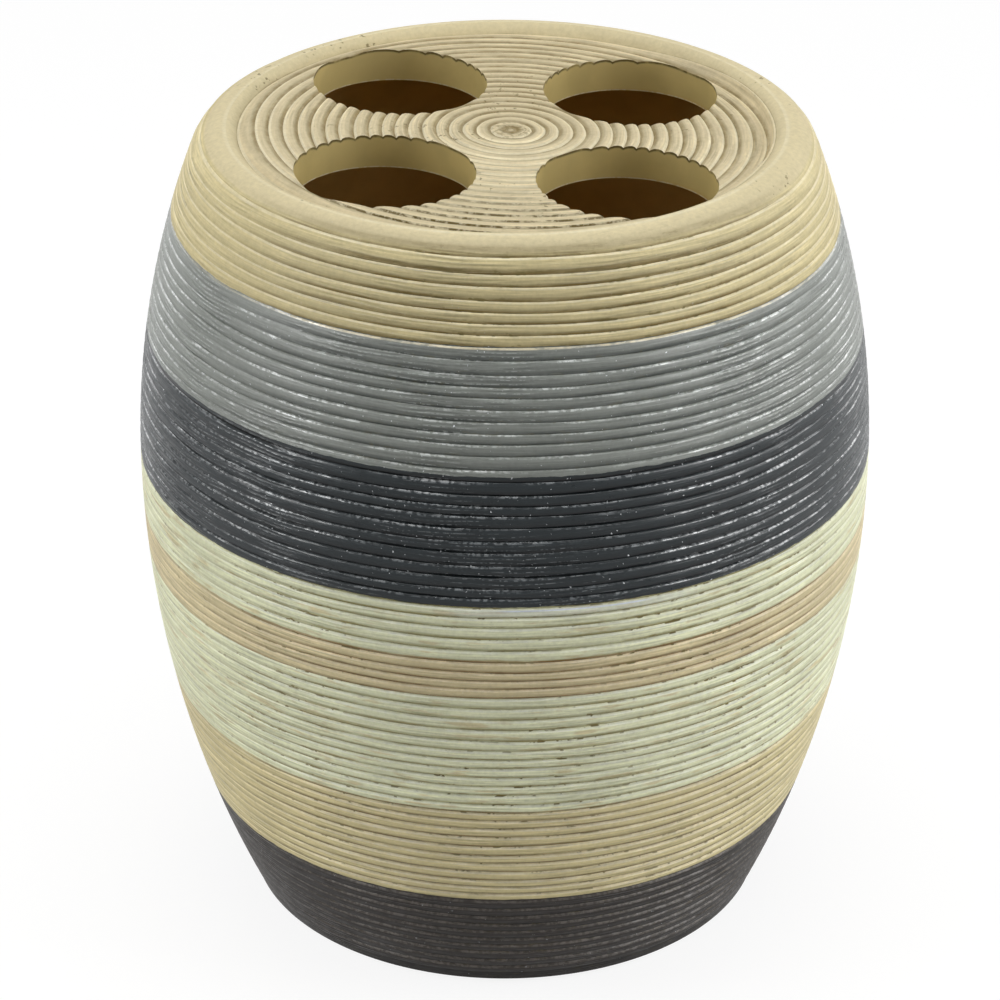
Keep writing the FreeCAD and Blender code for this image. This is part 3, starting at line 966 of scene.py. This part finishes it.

# %% [markdown]
# ### Lines along the band borders
# Three borders have a line of their own. Under the slate band the green is rubbed to a thin white line with
# a pale patch round it, only near the front. The cream starts with a light edge on the shoulder below its
# groove, a painted highlight that is strongest in front.
# A dark line lies in the groove under the grey. Each is a stripe over the way, given by where it starts, is
# full, wanes and ends, counted upwards from the border.

# %% Add the border lines
THIN_PAINT = linear(226, 232, 238)
EDGE_HIGHLIGHT = linear(226, 216, 186)
BORDER_LINE = linear(12, 14, 15)
WHITE_LINE_OFFSETS = (-0.36 * MM, -0.26 * MM, -0.10 * MM, -0.04 * MM)
PALE_PATCH_OFFSETS = (-1.5 * MM, -0.7 * MM, -0.10 * MM, -0.04 * MM)
CREAM_EDGE_OFFSETS = (0.0, 0.08 * MM, 0.22 * MM, 0.34 * MM)
DARK_LINE_OFFSETS = (-0.26 * MM, -0.12 * MM, 0.0, 0.06 * MM)
THIN_SPOT = (11 * MM, -48.5 * MM, 66 * MM)
LINE_REACH = (8 * MM, 11 * MM)
PATCH_REACH = (12 * MM, 20 * MM)
slate_start, grey_start, cream_start = (band.start - band.overrun for band in BANDS[5:])


def stripe(border_way, offsets, height=1.0):
    """A share that is height within a stripe along a border, and 0 outside it."""
    start, full, waning, end = (border_way + offset for offset in offsets)
    return paint.product(paint.span(way, start, full, 0.0, height), paint.falling(way, waning, end))


spot_gap = paint.add("ShaderNodeVectorMath", operation="DISTANCE")
paint.feed(spot_gap.inputs[0], place)
paint.feed(spot_gap.inputs[1], THIN_SPOT)
from_spot = spot_gap.outputs["Value"]
white_line = paint.product(stripe(slate_start, WHITE_LINE_OFFSETS), paint.falling(from_spot, *LINE_REACH))
pale_patch = paint.product(stripe(slate_start, PALE_PATCH_OFFSETS, 0.3),
                           paint.falling(from_spot, *PATCH_REACH))
# Painted highlight on the shoulder where the cream starts, strongest in front
cream_edge = paint.product(stripe(cream_start, CREAM_EDGE_OFFSETS),
                           paint.span(broken, 0.35, 0.5, 0.3, 1.0), front)

colour = paint.mix(white_line, colour, THIN_PAINT)
colour = paint.mix(pale_patch, colour, THIN_PAINT)
colour = paint.mix(cream_edge, colour, EDGE_HIGHLIGHT)
colour = paint.mix(stripe(grey_start, DARK_LINE_OFFSETS), colour, BORDER_LINE)
print("with border lines:", len(paint.nodes), "nodes")

# %% [markdown]
# ### Uneven paint, and the bare resin
# No hand-brushed paint is one even tone, so the whole colour is made lighter and darker by streaks, patches
# and speckles. The bare resin is ochre on the hole walls and browner in the cavity, a painted shade of its
# dark inside. The third layer marks the walls' edges: a dark line follows the scalloped upper one, and a
# painted highlight lines the lower one.

# %% Mix the bare resin and join it to the paint
RAW_CAVITY_SHADED = linear(204, 169, 99)
RAW_WALL = linear(209, 188, 122)
WALL_BLEND = 1.2 * MM
swing = paint.product(paint.centred(line_streak), ribbed, paint.span(patch, 0.42, 0.60, 0.5, 1.1))
patchy = paint.product(paint.centred(patch), 0.16)
speckled = paint.product(paint.centred(speckle), 0.34)
colour = paint.scaled(colour, paint.total(swing, patchy, speckled, 1.0))

upper_edge = paint.product(paint.span(bare, WALL_TOP - 0.10, WALL_TOP - 0.04),
                           paint.span(broken, 0.35, 0.55, 0.4, 0.95))
# Painted highlight along the foot of each hole wall
lower_edge_highlight = paint.product(paint.falling(bare, WALL_FOOT + 0.02, WALL_FOOT + 0.05),
                           paint.span(bare, 1.02, 1.05), paint.span(speckle, 0.40, 0.55, 0.2, 0.9))
# The cavity's resin is browner: painted shade of the dark inside
resin = paint.mix(paint.span(place_z, CEILING_HEIGHT - WALL_BLEND, CEILING_HEIGHT), RAW_CAVITY_SHADED, RAW_WALL)
resin = paint.scaled(resin, paint.span(resin_patch, 0.35, 0.65, 0.94, 1.06))
resin = paint.mix(upper_edge, resin, DIRT_AND_SHADE)
resin = paint.mix(lower_edge_highlight, resin, EDGE_HIGHLIGHT)
paint.feed(paint.shader.inputs["Base Color"], paint.mix(paint.math("MINIMUM", bare, 1.0), colour, resin))
print("with the bare resin:", len(paint.nodes), "nodes")

# %% [markdown]
# ### Sheen and relief
# The paint is matte, and only the metallic bands catch light: on rubbed shoulders and pale scratches, in
# single granules. Making those bands metal would mirror the room, so they stay plain paint with a stronger
# reflection at just those spots. Two bumps lie over each other: brush lines and scratches, and the fine
# speckle of the casting, stronger on the disc. The ribs themselves are modelled, so no bump draws them.

# %% Finish the painted resin
LINE_HEIGHT = 0.22 * MM
SPECKLE_HEIGHT = 0.05 * MM
painted = paint.math("SUBTRACT", 1.0, bare, clamp=True)
uneven = paint.math("SUBTRACT", paint.product(paint.centred(broken), 0.5),
                    paint.product(shoulder, sparkling, 0.14))
paint.feed(paint.shader.inputs["Roughness"], paint.math("ADD", band_roughness, uneven, clamp=True))

glint = paint.product(paint.largest(paint.product(shoulder, whole), pale_scratch), granules, 0.9)
sheen = paint.total(paint.product(sparkling, painted, paint.total(glint, 0.08)),
                    paint.span(on_rim, 0.0, 1.0, 0.2, 0.06))
paint.feed(paint.shader.inputs["Specular IOR Level"], sheen)

lines = paint.math("SUBTRACT", paint.product(line_streak, 0.5), paint.product(scratch, scored, 0.25))
lines = paint.product(lines, ribbed, painted, paint.span(on_disc, 0.0, 1.0, 1.0, 0.3))
grain = paint.product(speckle, paint.total(paint.product(on_disc, 0.8), 0.45))
relief = paint.bump(grain, 0.5, SPECKLE_HEIGHT, paint.bump(lines, 0.7, LINE_HEIGHT))
paint.feed(paint.shader.inputs["Normal"], relief)
mesh.materials.clear()
mesh.materials.append(paint.material)
print("painted resin:", len(paint.nodes), "nodes")

# %% [markdown]
# ## The hidden underside
# The disc is the same resin, sanded flat and left unpainted. The bead around it is cured glue, and the four
# pads are punched from closed-cell foam. Their shapes are right as packed, so only the finish changes. One
# loop gives each of them a mottled colour and a fine bump.

# %% Finishes of the underside
SmallFinish = namedtuple("SmallFinish", "name nodes colour roughness grain_scale grain_height")
SMALL_FINISHES = (
    SmallFinish("base_resin", ("base_plate",), linear(166, 150, 116), 0.7, 420.0, 0.08 * MM),
    SmallFinish("cured_glue", ("bond_bead",), linear(170, 150, 105), 0.25, 300.0, 0.10 * MM),
    SmallFinish("foam", ("foot_1", "foot_2", "foot_3", "foot_4"), linear(38, 38, 40), 0.9, 1500.0,
                0.30 * MM),
)
MOTTLE_SHARE = 0.72
for kind in SMALL_FINISHES:
    finish = Finish(kind.name)
    mottle = finish.noise(finish.add("ShaderNodeTexCoord").outputs["Object"], kind.grain_scale, 4.0, 0.6)
    darker = [part * MOTTLE_SHARE for part in kind.colour[:3]] + [1.0]
    mottled = finish.mix(finish.span(mottle, 0.3, 0.7), darker, kind.colour)
    finish.feed(finish.shader.inputs["Base Color"], mottled)
    finish.feed(finish.shader.inputs["Roughness"], kind.roughness)
    finish.feed(finish.shader.inputs["Normal"], finish.bump(mottle, 0.5, kind.grain_height))
    for node in kind.nodes:
        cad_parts[node].data.materials.clear()
        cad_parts[node].data.materials.append(finish.material)
    print(kind.name, "on", len(kind.nodes), "pieces")

# %% [markdown]
# ## Studio
# The picture was taken on plain white. A white floor that only receives light turns grey away from the
# lamps, and one that only glows leaves the holder floating. So the floor is white to the camera and to
# reflections, mostly by its own glow, and the rest is light it receives, which keeps a soft shadow. Other
# rays meet a plain pale floor.

# %% Floor
FLOOR_SIZE = 3.0
FLOOR_GLOW = 0.88
SEEN_FLOOR, LIT_FLOOR = 0.16, 0.80


def seen_share(tree):
    """1 for a ray from the camera, a reflection or through glass, and 0 for one that only lights."""
    ray = tree.add("ShaderNodeLightPath").outputs
    return tree.largest(ray["Is Camera Ray"], ray["Is Glossy Ray"], ray["Is Transmission Ray"])


def diffuse(tree, level):
    node = tree.add("ShaderNodeBsdfDiffuse")
    node.inputs["Color"].default_value = (level, level, level, 1)
    return node.outputs[0]


floor_maker = bmesh.new()
bmesh.ops.create_grid(floor_maker, x_segments=1, y_segments=1, size=FLOOR_SIZE)
floor = object_from(floor_maker, "floor")
ground = Finish("floor_white")
glow = ground.add("ShaderNodeEmission")
ground.feed(glow.inputs["Strength"], FLOOR_GLOW)
bright = ground.add("ShaderNodeAddShader")
ground.feed(bright.inputs[0], diffuse(ground, SEEN_FLOOR))
ground.feed(bright.inputs[1], glow.outputs[0])
joined = ground.add("ShaderNodeMixShader")
ground.feed(joined.inputs[0], seen_share(ground))
ground.feed(joined.inputs[1], diffuse(ground, LIT_FLOOR))
ground.feed(joined.inputs[2], bright.outputs[0])
ground.feed(ground.nodes["Material Output"].inputs["Surface"], joined.outputs[0])
floor.data.materials.append(ground.material)
print("floor:", len(ground.nodes), "nodes, glow", FLOOR_GLOW)

# %% [markdown]
# ### The world
# A sky image would colour the paint and show in its sheen. A plain world does what the floor does: it is
# white where it is seen, and dim where it only lights, so that the lamps shape the holder.

# %% World
WORLD_LIGHT = 0.17
world = bpy.data.worlds.new("studio")
world.use_nodes = True
bpy.context.scene.world = world
sky = Nodes(world.node_tree)
background = sky.nodes["Background"]
sky.feed(background.inputs["Color"], (1, 1, 1, 1))
sky.feed(background.inputs["Strength"], sky.span(seen_share(sky), 0.0, 1.0, WORLD_LIGHT, 1.0))
print("world light", WORLD_LIGHT)

# %% [markdown]
# ### Lamps
# Large soft lights stood to the left and right, and one hung overhead. They set how bright the paint is.
# The glints on the metallic bands need narrower lamps, which would overlight the matte paint. So five
# strips round the holder light reflections alone: their light is left out of the matte part.

# %% Lamps
LAMP_HEIGHT = 0.30
PANEL_REACH, PANEL_FORWARD = 0.62, 0.11
PANEL_WIDTH, LAMP_LENGTH = 0.35, 0.6
LEFT_WATTS, RIGHT_WATTS = 1.85, 2.28
OVERHEAD_HEIGHT, OVERHEAD_BACK, OVERHEAD_WATTS = 0.80, 0.05, 3.2
STRIP_REACH, STRIP_WIDTH = 0.63, 0.18
# Degrees that each strip stands round from the front, to the right, and its watts
STRIPS = ((-60, 2.7), (60, 3.8), (100, 2.3), (-130, 1.1), (130, 1.5))
AIM_SHARE = 0.6
aim = (0, 0, AIM_SHARE * RIM_HEIGHT)


def lamp(name, stand, width, watts):
    light = bpy.data.lights.new(name, "AREA")
    light.shape = "RECTANGLE"
    light.size = width
    light.size_y = LAMP_LENGTH
    light.energy = watts
    made = bpy.data.objects.new(name, light)
    made.location = stand
    made.rotation_euler = (Vector(aim) - Vector(stand)).to_track_quat("-Z", "Y").to_euler()
    bpy.context.scene.collection.objects.link(made)
    return made


lamp("overhead", (0.0, OVERHEAD_BACK, OVERHEAD_HEIGHT), LAMP_LENGTH, OVERHEAD_WATTS)
lamp("left_panel", (-PANEL_REACH, -PANEL_FORWARD, LAMP_HEIGHT), PANEL_WIDTH, LEFT_WATTS)
lamp("right_panel", (PANEL_REACH, -PANEL_FORWARD, LAMP_HEIGHT), PANEL_WIDTH, RIGHT_WATTS)
for i, (turn, watts) in enumerate(STRIPS, start=1):
    angle = math.radians(turn)
    stand = (STRIP_REACH * math.sin(angle), -STRIP_REACH * math.cos(angle), LAMP_HEIGHT)
    strip = lamp(f"strip_{i}", stand, STRIP_WIDTH, watts)
    strip.visible_diffuse = False
print(len(bpy.data.lights), "lamps")

# %% [markdown]
# ## Camera
# The photograph was taken from the front, 27.6 degrees above level and about half a metre away. A camera
# further off with a longer lens gives nearly the same outline, but the holes tell the two apart: the nearer
# the camera, the larger the front ones look beside the back ones. The holder stands with its holes turned
# 2.3 degrees, so the camera is moved round by that much.

# %% Camera
CAMERA_DISTANCE = 0.4805
CAMERA_HEIGHT = 0.3074
CAMERA_TURN = math.radians(2.3)
CAMERA_PITCH = 0.482
SENSOR_WIDTH = 36
LENS_SHARE = 3.9041
LENS_SHIFT = -0.00476
NEAREST_VIEW = 0.01
lens = bpy.data.cameras.new("camera")
lens.sensor_width = SENSOR_WIDTH
lens.lens = SENSOR_WIDTH * LENS_SHARE
lens.shift_x = LENS_SHIFT
lens.clip_start = NEAREST_VIEW
camera = bpy.data.objects.new("camera", lens)
camera.location = (CAMERA_DISTANCE * math.sin(CAMERA_TURN), -CAMERA_DISTANCE * math.cos(CAMERA_TURN),
                   CAMERA_HEIGHT)
camera.rotation_euler = (math.pi / 2 - CAMERA_PITCH, 0, CAMERA_TURN)
bpy.context.scene.collection.objects.link(camera)
bpy.context.scene.camera = camera
bpy.context.scene.view_settings.view_transform = "Standard"
print("camera at", [round(part, 3) for part in camera.location])

# %% [markdown]
# ## Size
# The dressed part may not be larger than the packed one, or it would no longer fit where the part does.

# %% End
